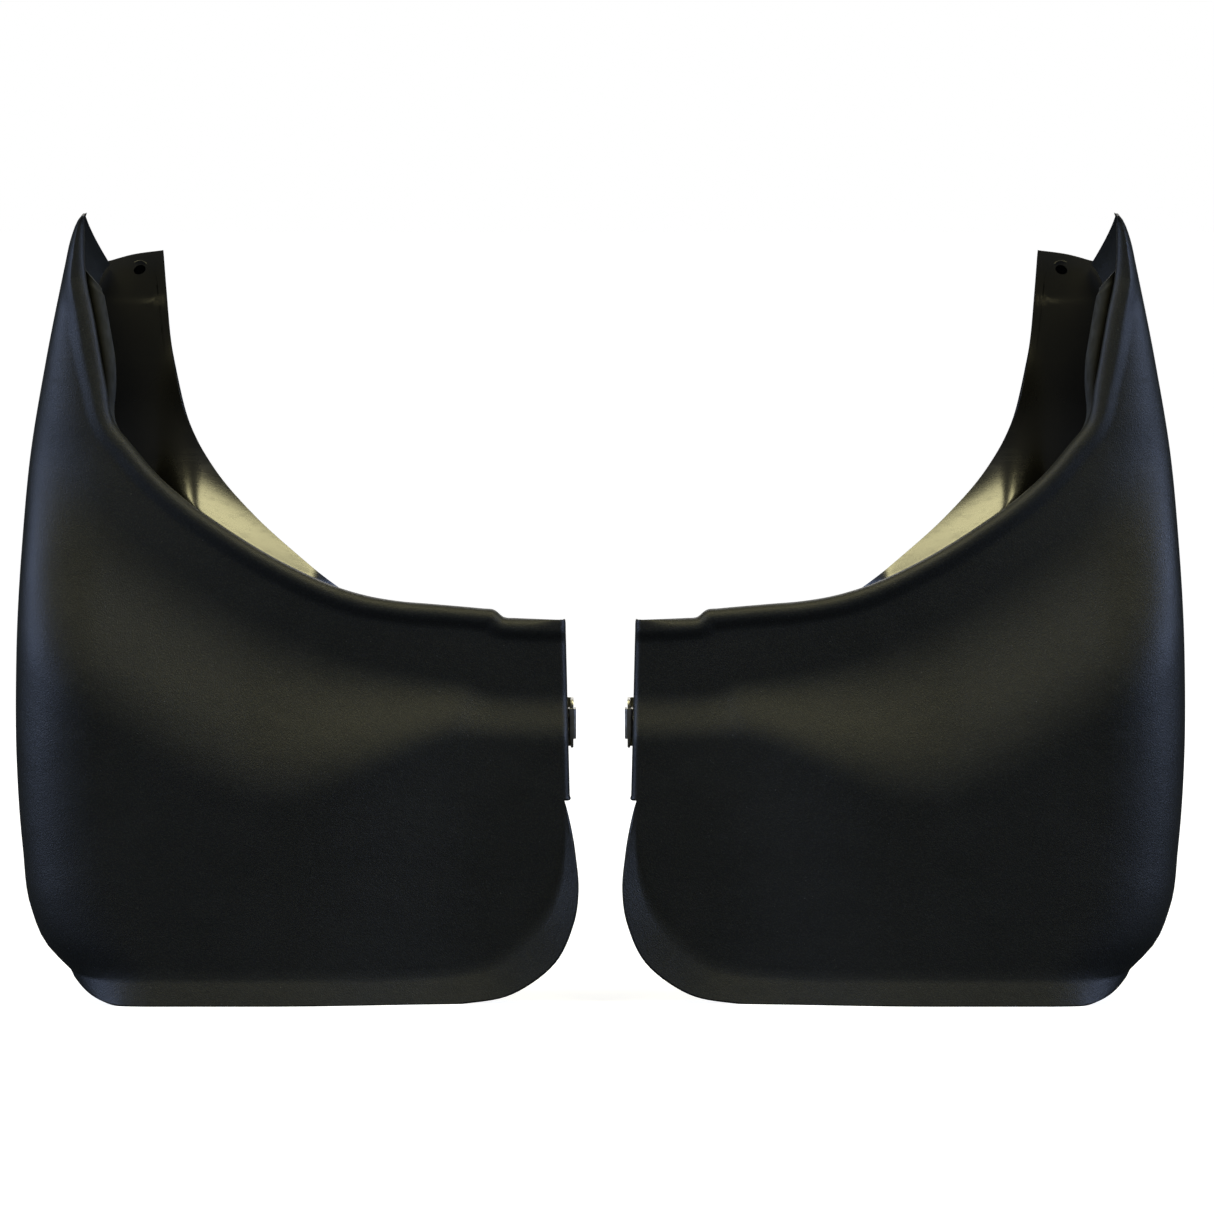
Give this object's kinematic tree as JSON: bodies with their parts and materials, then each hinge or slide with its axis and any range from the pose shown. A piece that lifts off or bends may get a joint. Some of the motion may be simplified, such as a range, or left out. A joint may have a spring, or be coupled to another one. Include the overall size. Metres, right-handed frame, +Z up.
{
  "type": "moulded mud flap pair",
  "caption": "Handed pair of contoured black plastic mud flaps for a vehicle's rear wheel arches, with rolled lip, wheel-side panel, seal, bracket and fixings.",
  "frame": {"origin": "on the pair's plane of symmetry, at the level of the bottom edge, halfway through the depth", "axes": "+X to the right seen from behind the vehicle, +Y towards the front of the vehicle (the grained faces look to -Y), +Z up"},
  "size_m": [0.6262, 0.1036, 0.4221],
  "materials": {
    "grained_shell": "fine grained matte black thermoplastic",
    "smooth_panel": "smoother satin black thermoplastic",
    "seal_rubber": "matte extruded rubber",
    "foam": "closed-cell foam",
    "zinc_sheet": "zinc-plated sheet steel",
    "zinc_fastener": "zinc-plated steel",
    "clip_plastic": "moulded nylon"
  },
  "bodies": {
    "left_flap": {"left_outer_shell": "grained_shell", "left_liner_panel": "smooth_panel", "left_edge_seal": "seal_rubber", "left_inboard_bracket": "zinc_sheet", "left_spring_nut": "zinc_sheet", "left_bracket_screw_lower": "zinc_fastener", "left_bracket_screw_upper": "zinc_fastener", "left_panel_screw_inner": "zinc_fastener", "left_panel_screw_middle": "zinc_fastener", "left_panel_screw_outer": "zinc_fastener", "left_rivet_body_inner": "clip_plastic", "left_rivet_body_outer": "clip_plastic", "left_lip_pad_inner": "foam", "left_lip_pad_outer": "foam"},
    "left_arch_washer_body": {"left_arch_washer": "zinc_fastener"},
    "left_arch_screw_body": {"left_arch_screw": "zinc_fastener"},
    "left_rivet_pin_inner_body": {"left_rivet_pin_inner": "clip_plastic"},
    "left_rivet_pin_outer_body": {"left_rivet_pin_outer": "clip_plastic"},
    "right_flap": {"right_outer_shell": "grained_shell", "right_liner_panel": "smooth_panel", "right_edge_seal": "seal_rubber", "right_inboard_bracket": "zinc_sheet", "right_spring_nut": "zinc_sheet", "right_bracket_screw_lower": "zinc_fastener", "right_bracket_screw_upper": "zinc_fastener", "right_panel_screw_inner": "zinc_fastener", "right_panel_screw_middle": "zinc_fastener", "right_panel_screw_outer": "zinc_fastener", "right_rivet_body_inner": "clip_plastic", "right_rivet_body_outer": "clip_plastic", "right_lip_pad_inner": "foam", "right_lip_pad_outer": "foam"},
    "right_arch_washer_body": {"right_arch_washer": "zinc_fastener"},
    "right_arch_screw_body": {"right_arch_screw": "zinc_fastener"},
    "right_rivet_pin_inner_body": {"right_rivet_pin_inner": "clip_plastic"},
    "right_rivet_pin_outer_body": {"right_rivet_pin_outer": "clip_plastic"}
  },
  "joints": [
    {"name": "pair_spacing", "type": "slide", "parent": "left_flap", "child": "right_flap", "axis": [1, 0, 0], "range_m": [0, 0.12]},
    {"name": "left_arch_screw_travel", "type": "slide", "parent": "left_flap", "child": "left_arch_washer_body", "axis": [0, 1, 0], "range_m": [0, 0.0128]},
    {"name": "left_arch_screw_turn", "type": "hinge", "parent": "left_arch_washer_body", "child": "left_arch_screw_body", "pos_m": [-0.094, 0.0169, 0.178], "axis": [0, 1, 0], "range_deg": [0, 2880]},
    {"name": "left_rivet_pin_inner_slide", "type": "slide", "parent": "left_flap", "child": "left_rivet_pin_inner_body", "axis": [0, 1, 0], "range_m": [0, 0.008]},
    {"name": "left_rivet_pin_outer_slide", "type": "slide", "parent": "left_flap", "child": "left_rivet_pin_outer_body", "axis": [0, 1, 0], "range_m": [0, 0.008]},
    {"name": "right_arch_screw_travel", "type": "slide", "parent": "right_flap", "child": "right_arch_washer_body", "axis": [0, 1, 0], "range_m": [0, 0.0128]},
    {"name": "right_arch_screw_turn", "type": "hinge", "parent": "right_arch_washer_body", "child": "right_arch_screw_body", "pos_m": [0.094, 0.0169, 0.178], "axis": [0, 1, 0], "range_deg": [0, 2880]},
    {"name": "right_rivet_pin_inner_slide", "type": "slide", "parent": "right_flap", "child": "right_rivet_pin_inner_body", "axis": [0, 1, 0], "range_m": [0, 0.008]},
    {"name": "right_rivet_pin_outer_slide", "type": "slide", "parent": "right_flap", "child": "right_rivet_pin_outer_body", "axis": [0, 1, 0], "range_m": [0, 0.008]}
  ],
  "couplings": [
    {"joint": "left_arch_screw_turn", "follows": "left_arch_screw_travel", "rad_per_m": 3927},
    {"joint": "right_arch_screw_turn", "follows": "right_arch_screw_travel", "rad_per_m": 3927}
  ]
}
